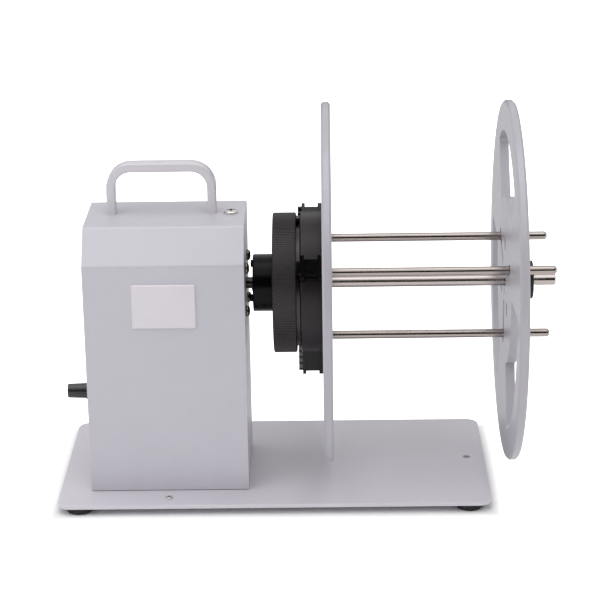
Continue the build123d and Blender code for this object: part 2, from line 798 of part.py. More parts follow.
# ---------------------------------------------------------------- knurled ring and scroll
with BuildPart() as grip_ring:
    with BuildSketch(spindle_plane(grip_x)):
        Circle(grip_radius)
        Circle(chuck_boss_radius + fit, mode=Mode.SUBTRACT)
    extrude(amount=grip_width)
    rims = grip_ring.edges().filter_by(GeomType.CIRCLE).sort_by(SortBy.RADIUS)[-2:]
    chamfer(rims, length=grip_edge)
    with BuildSketch(spindle_plane(scroll_x)):
        Circle(grip_radius - grip_wall + seat)
    extrude(amount=-grip_seat_depth, mode=Mode.SUBTRACT)
    with BuildSketch(spindle_plane(grip_x)):
        Circle(grip_pocket_outer)
        Circle(grip_pocket_inner, mode=Mode.SUBTRACT)
    extrude(amount=grip_pocket_depth, mode=Mode.SUBTRACT)
keep(grip_ring, "grip_ring")


def scroll_radius(quarter):
    """Mid radius of the scroll rib in its nth quarter turn."""
    return scroll_start_radius + quarter * scroll_pitch / 4


def scroll_centre(quarter):
    """Centre of the nth quarter turn: the four corners of a square a quarter pitch wide."""
    half = scroll_pitch / 8
    corners = [(-half, half), (-half, -half), (half, -half), (half, half)]
    return corners[quarter % 4]


def scroll_point(quarter, angle, shift):
    """Point on the rib's edge, shift from its middle, at an angle into its nth quarter turn."""
    centre = scroll_centre(quarter)
    radius = scroll_radius(quarter) + shift
    turned = radians(90 * quarter + angle)
    return (centre[0] + radius * cos(turned), centre[1] + radius * sin(turned))


with BuildPart() as scroll_plate:
    with BuildSketch(spindle_plane(scroll_x - grip_seat_depth)):
        Circle(grip_radius - grip_wall)
        Circle(chuck_boss_radius + fit, mode=Mode.SUBTRACT)
    extrude(amount=grip_seat_depth)
    last = 4 * scroll_turns
    with BuildSketch(spindle_plane(scroll_x)):
        with BuildLine():
            for quarter in range(scroll_first_quarter, last + 1):
                for shift in (-scroll_rib / 2, scroll_rib / 2):
                    CenterArc(scroll_centre(quarter), scroll_radius(quarter) + shift, 90 * quarter, 90)
            Line(scroll_point(scroll_first_quarter, 0, -scroll_rib / 2),
                 scroll_point(scroll_first_quarter, 0, scroll_rib / 2))
            Line(scroll_point(last, 90, -scroll_rib / 2), scroll_point(last, 90, scroll_rib / 2))
        make_face()
    extrude(amount=scroll_rib_height)
keep(scroll_plate, "scroll_plate")

# ---------------------------------------------------------------- chuck body
rear_depth = jaw_end_gap + jaw_rear_rib + slide_play
tongue_end = jaw_end_gap + jaw_rear_rib + jaw_groove - slide_play
guide_length = chuck_radius
with BuildPart() as chuck_body:
    with BuildSketch(spindle_plane(chuck_x)):
        Circle(chuck_radius)
    extrude(amount=chuck_thickness)
    fillet(chuck_body.edges().filter_by(GeomType.CIRCLE), chuck_edge)
    for angle in jaw_angles:
        with BuildSketch(spindle_plane(chuck_x, angle)):
            with Locations((chuck_core_radius, 0)):
                Rectangle(guide_length, jaw_width + 2 * slide_play, align=(Align.MIN, Align.CENTER))
        extrude(amount=rear_depth, mode=Mode.SUBTRACT)
        with BuildSketch(spindle_plane(chuck_x, angle)):
            with Locations((chuck_core_radius, 0)):
                Rectangle(guide_length, jaw_web_width + 2 * slide_play, align=(Align.MIN, Align.CENTER))
        extrude(amount=chuck_thickness, mode=Mode.SUBTRACT)
        with BuildSketch(spindle_plane(chuck_x + tongue_end, angle)):
            with Locations((chuck_core_radius, 0)):
                Rectangle(guide_length, jaw_width + 2 * slide_play, align=(Align.MIN, Align.CENTER))
        extrude(amount=chuck_thickness - tongue_end, mode=Mode.SUBTRACT)
    with BuildSketch(spindle_plane(scroll_x)):
        Circle(chuck_neck_radius)
    extrude(amount=scroll_gap)
    with BuildSketch(spindle_plane(grip_x)):
        Circle(chuck_boss_radius)
    extrude(amount=grip_width)
    with BuildSketch(spindle_plane(inner_flange_x)):
        Circle(flange_bore_radius - seat)
    extrude(amount=flange_thickness - flange_edge)
    with BuildSketch(spindle_plane(grip_x)):
        Circle(shaft_radius + seat)
    extrude(amount=inner_flange_x + flange_thickness - grip_x, mode=Mode.SUBTRACT)
    with BuildSketch(spindle_plane(grip_x)):
        with PolarLocations(hub_screw_circle, jaw_count, start_angle=90):
            Circle(hub_screw_radius + seat)
    extrude(amount=hub_screw_grip, mode=Mode.SUBTRACT)
    with BuildSketch(spindle_plane(inner_flange_x)):
        with PolarLocations(relief_circle, jaw_count, start_angle=window_angles[0]):
            Circle(flange_screw_radius + seat)
    extrude(amount=-flange_screw_depth, mode=Mode.SUBTRACT)
keep(chuck_body, "chuck_body")

with BuildPart() as centre_shaft:
    with BuildSketch(spindle_plane(shaft_joint_x)):
        Circle(shaft_radius)
    extrude(amount=shaft_end_x - shaft_joint_x)
    chamfer(centre_shaft.faces().sort_by(Axis.X)[-1].edges(), length=shaft_end_chamfer)
    with BuildSketch(spindle_plane(groove_x)):
        Circle(shaft_radius)
        Circle(stop_groove_radius, mode=Mode.SUBTRACT)
    extrude(amount=stop_groove_width, mode=Mode.SUBTRACT)
keep(centre_shaft, "centre_shaft")

# ---------------------------------------------------------------- jaws and core rods
for number, angle in enumerate(jaw_angles, start=1):
    with BuildPart() as jaw:
        jaw_length = jaw_outer_radius - jaw_inner_radius
        with BuildSketch(spindle_plane(jaw_x, angle)):
            with Locations((jaw_inner_radius, 0)):
                Rectangle(jaw_length, jaw_width, align=(Align.MIN, Align.CENTER))
        extrude(amount=jaw_rear_rib)
        with BuildSketch(spindle_plane(jaw_x + jaw_rear_rib, angle)):
            with Locations((jaw_inner_radius, 0)):
                Rectangle(jaw_length - jaw_web_recess, jaw_web_width, align=(Align.MIN, Align.CENTER))
        extrude(amount=jaw_groove)
        with BuildSketch(spindle_plane(jaw_x + jaw_rear_rib + jaw_groove, angle)):
            with Locations((jaw_inner_radius, 0)):
                Rectangle(jaw_length, jaw_width, align=(Align.MIN, Align.CENTER))
        extrude(amount=jaw_end_x - jaw_x - jaw_rear_rib - jaw_groove)
        rib_radius = scroll_start_radius + scroll_pitch * (angle / 360 - 1 / 8 + 1 / 2)
        first = floor((jaw_inner_radius + tooth_thickness / 2 - rib_radius) / scroll_pitch) + 1
        last_tooth = floor((jaw_outer_radius - rib_radius) / scroll_pitch)
        with BuildSketch(spindle_plane(jaw_x, angle)):
            for turn in range(last_tooth, first - 1, -1):
                tooth_radius = rib_radius + turn * scroll_pitch
                Circle(tooth_radius + tooth_thickness / 2)
                Circle(tooth_radius - tooth_thickness / 2, mode=Mode.SUBTRACT)
            with Locations((0, 0)):
                Rectangle(jaw_outer_radius, tooth_width, align=(Align.MIN, Align.CENTER),
                          mode=Mode.INTERSECT)
        extrude(amount=-tooth_height - jaw_end_gap)
        with BuildSketch(spindle_plane(jaw_end_x, angle)):
            with Locations((core_rod_circle, 0)):
                Circle(core_rod_radius + seat)
        extrude(amount=-core_rod_in_jaw, mode=Mode.SUBTRACT)
    keep(jaw, f"jaw_{number}")

    with BuildPart() as core_rod:
        rod_x = jaw_end_x - core_rod_in_jaw
        with BuildSketch(spindle_plane(rod_x, angle)):
            with Locations((core_rod_circle, 0)):
                Circle(core_rod_radius)
        extrude(amount=outer_face_x + core_rod_overhang - rod_x)
        fillet(core_rod.faces().sort_by(Axis.X)[-1].edges(), core_rod_tip_round)
    keep(core_rod, f"core_rod_{number}")

# ---------------------------------------------------------------- flanges
slot_start = core_rod_circle - jaw_travel_in
slot_end = core_rod_circle + jaw_travel_out
slot_width = 2 * (core_rod_radius + slot_play)


def flange_blank(x):
    """Round flange with three windows and three rod slots, its rear face at x."""
    with BuildPart() as blank:
        with BuildSketch(spindle_plane(x)):
            Circle(flange_radius)
        extrude(amount=flange_thickness)
        chamfer(blank.edges(), length=flange_edge)
        with BuildSketch(spindle_plane(x)):
            Circle(flange_bore_radius)
        extrude(amount=flange_thickness, mode=Mode.SUBTRACT)
        for angle in window_angles:
            reach = 2 * window_outer_radius
            side = reach * tan(radians(window_half_angle))
            with BuildSketch(spindle_plane(x, angle)) as window:
                Circle(window_outer_radius)
                Circle(window_inner_radius, mode=Mode.SUBTRACT)
                with BuildLine():
                    Polyline((0, 0), (reach, side), (reach, -side), close=True)
                make_face(mode=Mode.INTERSECT)
                fillet(window.vertices().sort_by(Axis.X)[-2:], window_corner)
            extrude(amount=flange_thickness, mode=Mode.SUBTRACT)
        for angle in jaw_angles:
            with BuildSketch(spindle_plane(x, angle)):
                with Locations(((slot_start + slot_end) / 2, 0)):
                    SlotCenterToCenter(slot_end - slot_start, slot_width)
            extrude(amount=flange_thickness, mode=Mode.SUBTRACT)
    return blank.part


inner_blank = flange_blank(inner_flange_x)
outer_blank = flange_blank(outer_flange_x)

with BuildPart() as inner_flange:
    add(inner_blank)
    with BuildSketch(spindle_plane(inner_flange_x)):
        with PolarLocations(relief_circle, jaw_count, start_angle=window_angles[0]):
            Circle(flange_screw_radius + seat)
    extrude(amount=flange_thickness, mode=Mode.SUBTRACT)
    with BuildSketch(spindle_plane(inner_flange_x + flange_thickness)):
        with PolarLocations(relief_circle, jaw_count, start_angle=window_angles[0]):
            Circle(flange_screw_head_radius + seat)
    extrude(amount=-flange_screw_head_height, mode=Mode.SUBTRACT)
keep(inner_flange, "inner_flange")

with BuildPart() as flange_screws:
    screw_seat_x = inner_flange_x + flange_thickness - flange_screw_head_height
    with BuildSketch(spindle_plane(screw_seat_x)):
        with PolarLocations(relief_circle, jaw_count, start_angle=window_angles[0]):
            Circle(flange_screw_head_radius)
    extrude(amount=flange_screw_head_height)
    with BuildSketch(spindle_plane(screw_seat_x)):
        with PolarLocations(relief_circle, jaw_count, start_angle=window_angles[0]):
            Circle(flange_screw_radius)
    extrude(amount=-(screw_seat_x - inner_flange_x + flange_screw_depth - screw_end_gap))
keep(flange_screws, "flange_screws")

with BuildPart() as outer_flange:
    add(outer_blank)
    with BuildSketch(spindle_plane(outer_flange_x)):
        with PolarLocations(relief_circle, jaw_count, start_angle=window_angles[0]):
            Circle(relief_radius)
    extrude(amount=flange_thickness, mode=Mode.SUBTRACT)
keep(outer_flange, "outer_flange")

# ---------------------------------------------------------------- lock of the outer flange
with BuildPart() as flange_hub:
    with BuildSketch(spindle_plane(outer_flange_x)):
        Circle(flange_bore_radius - seat)
    extrude(amount=flange_thickness)
    with BuildSketch(spindle_plane(outer_face_x)):
        Circle(lock_shoulder_radius)
    extrude(amount=lock_shoulder)
    with BuildSketch(spindle_plane(nose_x)):
        Circle(lock_nose_radius)
    extrude(amount=lock_nose_length)
    with BuildSketch(spindle_plane(outer_flange_x)):
        Circle(shaft_radius + fit)
    extrude(amount=nose_x + lock_nose_length - outer_flange_x, mode=Mode.SUBTRACT)
    with BuildSketch(spindle_plane(nose_x + lock_shoulder)):
        with PolarLocations(0, 3):
            Rectangle(lock_knob_radius, lock_nose_slit, align=(Align.MIN, Align.CENTER))
    extrude(amount=lock_nose_length, mode=Mode.SUBTRACT)
keep(flange_hub, "flange_hub")

with BuildPart() as lock_knob:
    with BuildSketch(spindle_plane(nose_x)):
        Circle(lock_knob_radius)
    extrude(amount=lock_knob_length)
    fillet(lock_knob.edges(), lock_knob_edge)
    with BuildSketch(spindle_plane(nose_x)):
        with PolarLocations(lock_knob_radius + lock_knob_flute_radius / 2, lock_knob_flutes):
            Circle(lock_knob_flute_radius)
    extrude(amount=lock_knob_length, mode=Mode.SUBTRACT)
    with BuildSketch(spindle_plane(nose_x)):
        Circle(lock_nose_radius + fit)
    extrude(amount=lock_nose_length + lock_play, mode=Mode.SUBTRACT)
    with BuildSketch(spindle_plane(nose_x)):
        Circle(shaft_radius + lock_play)
    extrude(amount=lock_knob_length, mode=Mode.SUBTRACT)
keep(lock_knob, "lock_knob")
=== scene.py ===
import bpy
import bmesh
import json
from math import cos, pi, radians, sin
from mathutils import Matrix, Vector


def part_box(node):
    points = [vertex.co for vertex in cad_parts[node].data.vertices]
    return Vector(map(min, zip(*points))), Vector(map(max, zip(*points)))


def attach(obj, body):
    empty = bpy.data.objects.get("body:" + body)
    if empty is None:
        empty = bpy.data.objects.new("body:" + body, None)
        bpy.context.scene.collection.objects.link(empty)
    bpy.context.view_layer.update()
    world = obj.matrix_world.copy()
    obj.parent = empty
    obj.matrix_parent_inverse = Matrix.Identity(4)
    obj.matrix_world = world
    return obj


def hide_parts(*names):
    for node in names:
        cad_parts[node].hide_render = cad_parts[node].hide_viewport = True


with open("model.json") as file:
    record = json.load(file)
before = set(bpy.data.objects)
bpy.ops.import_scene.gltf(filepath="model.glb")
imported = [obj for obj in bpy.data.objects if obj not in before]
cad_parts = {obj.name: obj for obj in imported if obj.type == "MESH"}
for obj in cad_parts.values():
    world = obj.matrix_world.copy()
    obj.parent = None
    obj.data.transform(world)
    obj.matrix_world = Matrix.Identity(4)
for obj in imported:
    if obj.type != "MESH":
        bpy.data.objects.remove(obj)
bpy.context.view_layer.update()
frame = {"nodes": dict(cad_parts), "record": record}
nodes = frame["nodes"]
print("frame loaded:", len(nodes), "solids")


# shader tools
class Wire:
    # one socket, so that masks can be written as sums
    def __init__(self, finish, socket):
        self.finish = finish
        self.socket = socket

    def maths(self, operation, other, turned=False):
        pair = (other, self) if turned else (self, other)
        made = self.finish.make("ShaderNodeMath", {"operation": operation}, {0: pair[0], 1: pair[1]})
        return Wire(self.finish, made.outputs[0])

    def __add__(self, other):
        return self.maths("ADD", other)

    def __radd__(self, other):
        return self.maths("ADD", other, True)

    def __sub__(self, other):
        return self.maths("SUBTRACT", other)

    def __rsub__(self, other):
        return self.maths("SUBTRACT", other, True)

    def __mul__(self, other):
        return self.maths("MULTIPLY", other)

    def __rmul__(self, other):
        return self.maths("MULTIPLY", other, True)

    def over(self, edge):
        return self.maths("GREATER_THAN", edge)


class Wiring:
    # makes and joins the nodes of one tree
    def __init__(self, tree):
        self.tree = tree

    def make(self, kind, settings=None, sockets=None):
        made = self.tree.nodes.new(kind)
        for key, value in (settings or {}).items():
            setattr(made, key, value)
        for key, value in (sockets or {}).items():
            self.put(made.inputs[key], value)
        return made

    def put(self, socket, value):
        if isinstance(value, Wire):
            value = value.socket
        if isinstance(value, bpy.types.NodeSocket):
            self.tree.links.new(value, socket)
        else:
            socket.default_value = value


class Finish(Wiring):
    # a material while it is being wired
    def __init__(self, name):
        self.material = bpy.data.materials.new(name)
        self.material.use_nodes = True
        super().__init__(self.material.node_tree)
        self.shader = self.tree.nodes["Principled BSDF"]
        self.place = Wire(self, self.make("ShaderNodeTexCoord").outputs["Object"])

    def noise(self, scale, detail=2.0, stretch=(1, 1, 1), roughness=0.5):
        # fine grain in the piece's own metres; stretch draws it out along an axis
        spread = self.make("ShaderNodeMapping", {}, {"Vector": self.place, "Scale": stretch})
        made = self.make("ShaderNodeTexNoise", {"noise_dimensions": "3D"},
                         {"Vector": spread.outputs[0], "Scale": scale, "Detail": detail,
                          "Roughness": roughness})
        return Wire(self, made.outputs["Fac"])

    def blend(self, mask, low, high):
        made = self.make("ShaderNodeMix", {"data_type": "RGBA"}, {"Factor": mask, 6: low, 7: high})
        return Wire(self, made.outputs[2])

    def bump(self, height, strength, distance):
        made = self.make("ShaderNodeBump", {},
                         {"Height": height, "Strength": strength, "Distance": distance})
        return Wire(self, made.outputs[0])

    def wear(self, **values):
        for key, value in values.items():
            self.put(self.shader.inputs[key.replace("_", " ")], value)
        return self.material


def shade(colour, factor):
    return (colour[0] * factor, colour[1] * factor, colour[2] * factor, 1)


def tint(red, green, blue):
    # a colour given in 0-255 steps, as light
    channel = lambda v: (v / 255 / 12.92) if v < 11 else ((v / 255 + 0.055) / 1.055) ** 2.4
    return (channel(red), channel(green), channel(blue), 1)


def powderPaint(name, colour, rough=0.42, peel=0.10):
    f = Finish(name)
    cloud = f.noise(7, 3)
    grain = f.noise(2600, 1)
    ripple = f.noise(620, 2)
    rub = f.noise(60, 6, roughness=0.7)
    fleck = f.noise(900, 4, roughness=0.85)
    tone = f.blend(cloud * 0.35 + rub * 0.25 + fleck * 0.4, shade(colour, 0.88), shade(colour, 1.12))
    return f.wear(Base_Color=tone, Roughness=rough - 0.07 + cloud * 0.06 + grain * 0.08,
                  Metallic=0.12, Normal=f.bump(ripple * 0.6 + fleck * 0.4, peel, 0.0004))


def groundSteel(name, colour, rough=0.24, along=(0.02, 1, 1), metallic=1.0):
    f = Finish(name)
    streak = f.noise(2400, 3, along)
    cloud = f.noise(22, 3)
    tone = f.blend(streak * 0.6 + cloud * 0.4, shade(colour, 0.86), shade(colour, 1.08))
    return f.wear(Base_Color=tone, Metallic=metallic, Roughness=rough - 0.06 + streak * 0.10 + cloud * 0.05,
                  Normal=f.bump(streak, 0.06, 0.0002))


def anodised(name, colour, rough=0.4, coarse=1.0, metallic=0.55, specular=0.5):
    f = Finish(name)
    f.shader.inputs["Specular IOR Level"].default_value = specular
    fine = f.noise(3200, 1)
    turned = f.noise(2000, 2, (1.0, 0.04, 0.04))
    dust = f.noise(140, 8, roughness=0.75)
    speck = dust.over(0.665)
    tone = f.blend(speck * 0.35 + dust * 0.25, shade(colour, 0.82), shade(colour, 1.9))
    return f.wear(Base_Color=tone, Metallic=metallic, Roughness=rough - 0.05 + fine * 0.12 + dust * 0.05,
                  Normal=f.bump(fine * 0.6 + turned * 0.4, 0.07 * coarse, 0.0003))


def mouldedPlastic(name, colour, rough=0.3, coat=0.0, texture=0.05):
    f = Finish(name)
    fine = f.noise(1900, 2)
    cloud = f.noise(40, 4)
    tone = f.blend(cloud, shade(colour, 0.85), shade(colour, 1.25))
    return f.wear(Base_Color=tone, Roughness=rough - 0.04 + fine * 0.1 + cloud * 0.04, Coat_Weight=coat,
                  Normal=f.bump(fine, texture, 0.0003))


def footRubber(name, colour):
    f = Finish(name)
    fine = f.noise(1500, 3)
    dust = f.noise(180, 6, roughness=0.8)
    tone = f.blend(dust, shade(colour, 0.7), shade(colour, 1.9))
    return f.wear(Base_Color=tone, Roughness=0.72 + dust * 0.15,
                  Normal=f.bump(fine + dust * 0.5, 0.14, 0.0005))


def boardMask(name):
    f = Finish(name)
    trace = f.make("ShaderNodeTexBrick", {"offset": 0.5},
                   {"Vector": f.place, "Scale": 260.0, "Mortar Size": 0.03,
                    "Color1": (0.01, 0.10, 0.035, 1), "Color2": (0.012, 0.13, 0.045, 1),
                    "Mortar": (0.03, 0.2, 0.07, 1)})
    fine = f.noise(900, 2)
    return f.wear(Base_Color=trace.outputs["Color"], Roughness=0.32 + fine * 0.1,
                  Normal=f.bump(fine, 0.05, 0.0002))


paint = {
    "cover": tint(200, 198, 206),
    "side": tint(216, 212, 218),
    "base": tint(215, 211, 219),
    "handle": tint(214, 210, 216),
    "flange": tint(182, 180, 187),
    "badge": tint(221, 216, 222),
}
finishes = {
    "cover_paint": powderPaint("coverPaint", paint["cover"]),
    "side_paint": powderPaint("sidePaint", paint["side"]),
    "plate_paint": powderPaint("basePaint", paint["base"]),
    "handle_paint": powderPaint("handlePaint", paint["handle"], 0.38),
    "flange_paint": powderPaint("flangePaint", paint["flange"], 0.40, 0.07),
    "badge_white": powderPaint("badgeLacquer", paint["badge"], 0.30, 0.03),
    "foot_rubber": footRubber("footRubber", (0.013, 0.012, 0.013)),
    "dark_screw": groundSteel("darkScrew", (0.22, 0.19, 0.175), 0.16, (1, 1, 1)),
    "bright_screw": groundSteel("brightScrew", (0.74, 0.71, 0.68), 0.12, (1, 1, 1)),
    "gearbox_cast": groundSteel("gearboxCast", (0.42, 0.42, 0.44), 0.42, (1, 1, 1)),
    "motor_can": groundSteel("motorCan", (0.45, 0.45, 0.46), 0.3),
    "pot_metal": groundSteel("potMetal", (0.5, 0.49, 0.47), 0.3, (1, 1, 1)),
    "knob_plastic": mouldedPlastic("knobPlastic", (0.022, 0.020, 0.022), 0.26, 0.4),
    "switch_plastic": mouldedPlastic("switchPlastic", (0.02, 0.02, 0.02), 0.45),
    "rocker_plastic": mouldedPlastic("rockerPlastic", (0.03, 0.03, 0.032), 0.22, 0.5),
    "inlet_plastic": mouldedPlastic("inletPlastic", (0.02, 0.02, 0.02), 0.42),
    "post_brass": groundSteel("postBrass", (0.62, 0.42, 0.16), 0.3, (1, 1, 1)),
    "board_green": boardMask("boardGreen"),
    "component_dark": mouldedPlastic("componentDark", (0.04, 0.04, 0.045), 0.5),
    "steel_shaft": groundSteel("steelShaft", (0.50, 0.452, 0.434), 0.14),
    "hub_black": anodised("hubBlack", (0.0025, 0.002, 0.0025), 0.22, 0.6, 0.0, 0.13),
    "black_screw": groundSteel("blackScrew", (0.02, 0.019, 0.02), 0.34, (1, 1, 1)),
    "ring_black": anodised("ringBlack", (0.050, 0.044, 0.047), 0.40, 1.4),
    "scroll_steel": groundSteel("scrollSteel", (0.075, 0.068, 0.07), 0.32, (1, 1, 1)),
    "chuck_black": anodised("chuckBlack", (0.028, 0.024, 0.026), 0.36),
    "jaw_black": anodised("jawBlack", (0.003, 0.0025, 0.003), 0.16, 0.5, 0.0, 0.3),
    "rod_steel": groundSteel("rodSteel", (0.42, 0.372, 0.352), 0.15),
    "knob_black": mouldedPlastic("knobBlack", (0.012, 0.011, 0.012), 0.5, 0.0, 0.12),
}
# painted shade and reflection: the stub between the housing and the hub is darker than the long shaft, a
# darker copy of the same steel that stands in for the dark surroundings it reflects
driveSteel = groundSteel("driveSteel", (0.07, 0.062, 0.059), 0.2)
slotOf = {entry["node"]: entry["material_slot"] for entry in frame["record"]["subparts"]}
for nodeName, solid in nodes.items():
    solid.data.materials.clear()
    solid.data.materials.append(finishes[slotOf[nodeName]])
# the stub takes the darker copy of the shaft steel, painted shade for its dark reflections
nodes["drive_shaft"].data.materials[0] = driveSteel
print("finishes made:", len(finishes))


# mesh tools
def span(node):
    low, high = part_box(node)
    return Vector(low), Vector(high)


def meshPiece(name, mesh, slotName, body, *replaced):
    piece = bpy.data.objects.new(name, mesh)
    bpy.context.scene.collection.objects.link(piece)
    if not mesh.materials:
        mesh.materials.append(finishes[slotName])
    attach(piece, body)
    if replaced:
        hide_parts(*replaced)
    return piece


def baked(source, name):
    # the evaluated object as a plain mesh; the source and its modifiers go
    graph = bpy.context.evaluated_depsgraph_get()
    mesh = bpy.data.meshes.new_from_object(source.evaluated_get(graph))
    mesh.name = name
    bpy.data.objects.remove(source)
    return mesh


def looseObject(name, mesh):
    made = bpy.data.objects.new(name, mesh)
    bpy.context.scene.collection.objects.link(made)
    return made


def lathe(name, profile, steps=64):
    # closed outline of (along, radius) turned round the +Z axis
    bm = bmesh.new()
    rings = []
    for along, radius in profile:
        if radius < 1e-7:
            rings.append([bm.verts.new((0, 0, along))])
        else:
            angles = [2 * pi * k / steps for k in range(steps)]
            rings.append([bm.verts.new((radius * cos(a), radius * sin(a), along)) for a in angles])
    for a, b in zip(rings, rings[1:]):
        for k in range(steps):
            corners = [a[k % len(a)], a[(k + 1) % len(a)], b[(k + 1) % len(b)], b[k % len(b)]]
            corners = [c for i, c in enumerate(corners) if c not in corners[:i]]
            if len(corners) > 2:
                bm.faces.new(corners)
    bmesh.ops.remove_doubles(bm, verts=bm.verts, dist=1e-7)
    bmesh.ops.recalc_face_normals(bm, faces=bm.faces)
    mesh = bpy.data.meshes.new(name)
    bm.to_mesh(mesh)
    bm.free()
    return mesh


def smoothByAngle(mesh, degrees=35):
    mesh.shade_smooth()
    bm = bmesh.new()
    bm.from_mesh(mesh)
    for edge in bm.edges:
        edge.smooth = edge.is_manifold and edge.calc_face_angle(pi) < radians(degrees)
    bm.to_mesh(mesh)
    bm.free()
    return mesh


class Geometry(Wiring):
    # a geometry tree while it is being wired
    def __init__(self, name, inputs):
        super().__init__(bpy.data.node_groups.new(name, "GeometryNodeTree"))
        self.tree.interface.new_socket("Geometry", in_out="INPUT", socket_type="NodeSocketGeometry")
        self.tree.interface.new_socket("Geometry", in_out="OUTPUT", socket_type="NodeSocketGeometry")
        for label, kind in inputs:
            self.tree.interface.new_socket(label, in_out="INPUT", socket_type=kind)
        self.start = self.tree.nodes.new("NodeGroupInput")
        self.end = self.tree.nodes.new("NodeGroupOutput")

    def given(self, label):
        return self.start.outputs[label]

    def finish(self, geometry):
        real = self.make("GeometryNodeRealizeInstances", {}, {"Geometry": geometry})
        dressed = self.make("GeometryNodeSetMaterial", {},
                            {"Geometry": real.outputs[0], "Material": self.given("Finish")})
        self.tree.links.new(dressed.outputs[0], self.end.inputs[0])

    def run(self, name, mesh, values):
        carrier = looseObject(name, mesh)
        modifier = carrier.modifiers.new("build", "NODES")
        modifier.node_group = self.tree
        for item in self.tree.interface.items_tree:
            if item.in_out == "INPUT" and item.name in values:
                modifier[item.identifier] = values[item.name]
        return baked(carrier, name)


# one shape set out on points, for screws and feet
headTree = Geometry("headsOnPoints", [("Head", "NodeSocketObject"), ("Turn", "NodeSocketFloat"),
                                      ("Seed", "NodeSocketInt"), ("Finish", "NodeSocketMaterial")])
aim = headTree.make("GeometryNodeInputNamedAttribute", {"data_type": "FLOAT_VECTOR"}, {"Name": "aim"})
upright = headTree.make("FunctionNodeAlignRotationToVector", {"axis": "Z"}, {"Vector": aim.outputs[0]})
spin = headTree.make("FunctionNodeRandomValue", {"data_type": "FLOAT"},
                     {2: 0.0, 3: headTree.given("Turn"), "Seed": headTree.given("Seed")})
aboutAxis = headTree.make("FunctionNodeAxisAngleToRotation", {},
                          {"Axis": (0, 0, 1), "Angle": spin.outputs[1]})
turned = headTree.make("FunctionNodeRotateRotation", {"rotation_space": "LOCAL"},
                       {0: upright.outputs[0], 1: aboutAxis.outputs[0]})
headShape = headTree.make("GeometryNodeObjectInfo", {},
                          {"Object": headTree.given("Head"), "As Instance": True})
setOut = headTree.make("GeometryNodeInstanceOnPoints", {},
                       {"Points": headTree.given("Geometry"), "Instance": headShape.outputs["Geometry"],
                        "Rotation": turned.outputs[0]})
headTree.finish(setOut.outputs[0])


def crossCutter(name, reach, width, top, depth):
    # plus-shaped prism that narrows downwards, for a cross recess
    outline = [(reach, width), (width, width), (width, reach), (-width, reach),
               (-width, width), (-reach, width), (-reach, -width), (-width, -width),
               (-width, -reach), (width, -reach), (width, -width), (reach, -width)]
    bm = bmesh.new()
    rims = [[bm.verts.new((x * k, y * k, z)) for x, y in outline]
            for k, z in ((1.0, top), (0.7, top - depth))]
    for a in range(12):
        b = (a + 1) % 12
        bm.faces.new((rims[0][a], rims[0][b], rims[1][b], rims[1][a]))
    bm.faces.new(rims[0])
    bm.faces.new(rims[1][::-1])
    bmesh.ops.recalc_face_normals(bm, faces=bm.faces)
    mesh = bpy.data.meshes.new(name)
    bm.to_mesh(mesh)
    bm.free()
    return mesh


def hollowed(head, name, tool):
    # the head with the tool cut out of it; the tool goes
    recess = head.modifiers.new("cut", "BOOLEAN")
    recess.operation = "DIFFERENCE"
    recess.solver = "EXACT"
    recess.object = tool
    mesh = baked(head, name)
    bpy.data.objects.remove(tool)
    return looseObject(name, smoothByAngle(mesh, 30))


def panHead(name, radius, height, shank, length, cross):
    # domed head with a cross recess, standing on z = 0, shank below
    outline = [(height, 0.0)]
    for k in range(1, 9):
        a = k / 8 * pi / 2
        outline.append((height * (0.35 + 0.65 * cos(a)), radius * sin(a) ** 0.8))
    outline += [(height * 0.12, radius), (0, radius * 0.97), (0, shank), (-length, shank), (-length, 0.0)]
    head = looseObject(name, lathe(name, outline, 32))
    cutter = crossCutter(name + "Cut", cross, cross * 0.24, height * 1.3, height * 0.95)
    return hollowed(head, name, looseObject(name + "Tool", cutter))


def socketHead(name, radius, height, shank, length, key):
    # straight head with a hexagon socket, standing on z = 0
    outline = [(height, 0.0), (height, radius * 0.86), (height * 0.95, radius * 0.95),
               (height * 0.86, radius), (0, radius), (0, shank), (-length, shank), (-length, 0.0)]
    head = looseObject(name, lathe(name, outline, 32))
    flats = bpy.data.meshes.new(name + "Cut")
    bm = bmesh.new()
    bmesh.ops.create_cone(bm, cap_ends=True, segments=6, radius1=key, radius2=key, depth=height * 1.2)
    for v in bm.verts:
        v.co.z += height
    bm.to_mesh(flats)
    bm.free()
    return hollowed(head, name, looseObject(name + "Tool", flats))


def cornersOf(node):
    # low and high corner of each separate solid of a node, read from its own mesh
    bm = bmesh.new()
    bm.from_mesh(nodes[node].data)
    bmesh.ops.remove_doubles(bm, verts=bm.verts, dist=1e-6)
    seen = set()
    pairs = []
    for first in bm.verts:
        if first in seen:
            continue
        group = [first]
        seen.add(first)
        for v in group:
            for edge in v.link_edges:
                other = edge.other_vert(v)
                if other not in seen:
                    seen.add(other)
                    group.append(other)
        low = Vector([min(v.co[i] for v in group) for i in range(3)])
        high = Vector([max(v.co[i] for v in group) for i in range(3)])
        pairs.append((low, high))
    bm.free()
    return pairs


def screwSet(name, node, head, seat, direction, slotName, body, turn=pi, seed=3):
    # heads on every screw of a CAD node; seat is the height of the bearing face along direction
    axis = max(range(3), key=lambda i: abs(direction[i]))
    points = []
    for low, high in cornersOf(node):
        middle = (low + high) / 2
        middle[axis] = seat
        points.append(middle)
    mesh = bpy.data.meshes.new(name + "Points")
    mesh.from_pydata(points, [], [])
    pointing = mesh.attributes.new("aim", "FLOAT_VECTOR", "POINT")
    for item in pointing.data:
        item.vector = direction
    made = headTree.run(name, mesh,
                        {"Head": head, "Turn": turn, "Seed": seed, "Finish": finishes[slotName]})
    bpy.data.objects.remove(head)
    return meshPiece(name, made, slotName, body, node)


coverTop = span("housing_cover")[1].z
plateTop = span("base_plate")[1].z
plateUnder = span("base_plate")[0].z
housingRight = span("housing_cover")[1].x
housingBack = span("housing_cover")[1].y

